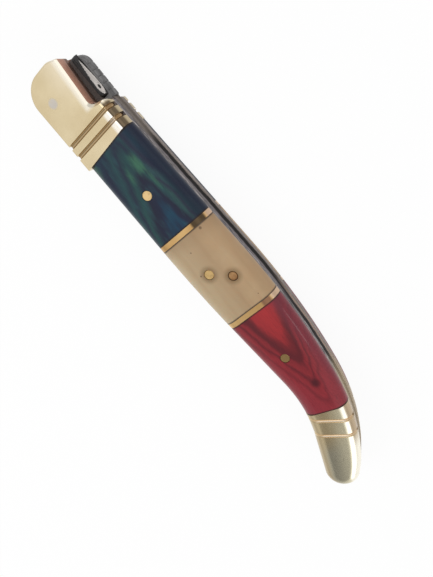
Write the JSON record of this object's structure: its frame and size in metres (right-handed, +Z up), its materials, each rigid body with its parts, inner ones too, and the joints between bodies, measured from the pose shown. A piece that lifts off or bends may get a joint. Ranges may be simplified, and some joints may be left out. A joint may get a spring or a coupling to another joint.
{
  "type": "folding pocket knife",
  "caption": "Folding pocket knife with brass bolsters, dyed wood and bone scales with brass spacers, steel liners, a backspring with a fly at its head, and a blade that folds into the belly.",
  "frame": {"origin": "middle of the bounding box at its lowest level, on the surface that the knife lies on", "axes": "+X from the head with the blade pivot to the hooked tail, +Y from the belly with the blade slot to the back with the spring, +Z up, out of the left side"},
  "size_m": [0.1196, 0.0214, 0.0115],
  "materials": {
    "bolster_brass": "polished",
    "spacer_brass": "polished",
    "pin_brass": "polished",
    "spring_pin_brass": "polished, a little tarnished",
    "blue_wood": "dyed blue and green, lacquered",
    "bone": "polished bone",
    "red_wood": "dyed red, lacquered",
    "liner_steel": "brushed",
    "spring_steel": "brushed",
    "fly_steel": "filed and polished",
    "blade_steel": "satin",
    "pivot_steel": "polished flush"
  },
  "bodies": {
    "handle": {"front_bolster_left": "bolster_brass", "front_bolster_right": "bolster_brass", "rear_bolster_left": "bolster_brass", "rear_bolster_right": "bolster_brass", "tail_pin": "bolster_brass", "front_spacer_left": "spacer_brass", "front_spacer_right": "spacer_brass", "rear_spacer_left": "spacer_brass", "rear_spacer_right": "spacer_brass", "front_scale_pin_left": "pin_brass", "front_scale_pin_right": "pin_brass", "middle_scale_pin_left": "pin_brass", "middle_scale_pin_right": "pin_brass", "rear_scale_pin_left": "pin_brass", "rear_scale_pin_right": "pin_brass", "spring_pin": "spring_pin_brass", "front_scale_left": "blue_wood", "front_scale_right": "blue_wood", "middle_scale_left": "bone", "middle_scale_right": "bone", "rear_scale_left": "red_wood", "rear_scale_right": "red_wood", "liner_left": "liner_steel", "liner_right": "liner_steel", "pivot_pin": "pivot_steel"},
    "blade": {"blade": "blade_steel"},
    "spring": {"backspring": "spring_steel", "fly": "fly_steel"}
  },
  "joints": [
    {"name": "blade_pivot", "type": "hinge", "parent": "handle", "child": "blade", "pos_m": [-0.05351, -0.00128, 0.00575], "axis": [0, 0, -1], "range_deg": [0, 180]},
    {"name": "spring_flex", "type": "hinge", "parent": "handle", "child": "spring", "pos_m": [0.05069, -0.00388, 0.00575], "axis": [0, 0, 1], "range_deg": [0, 0.22], "stiffness_Nm_per_rad": 5}
  ]
}
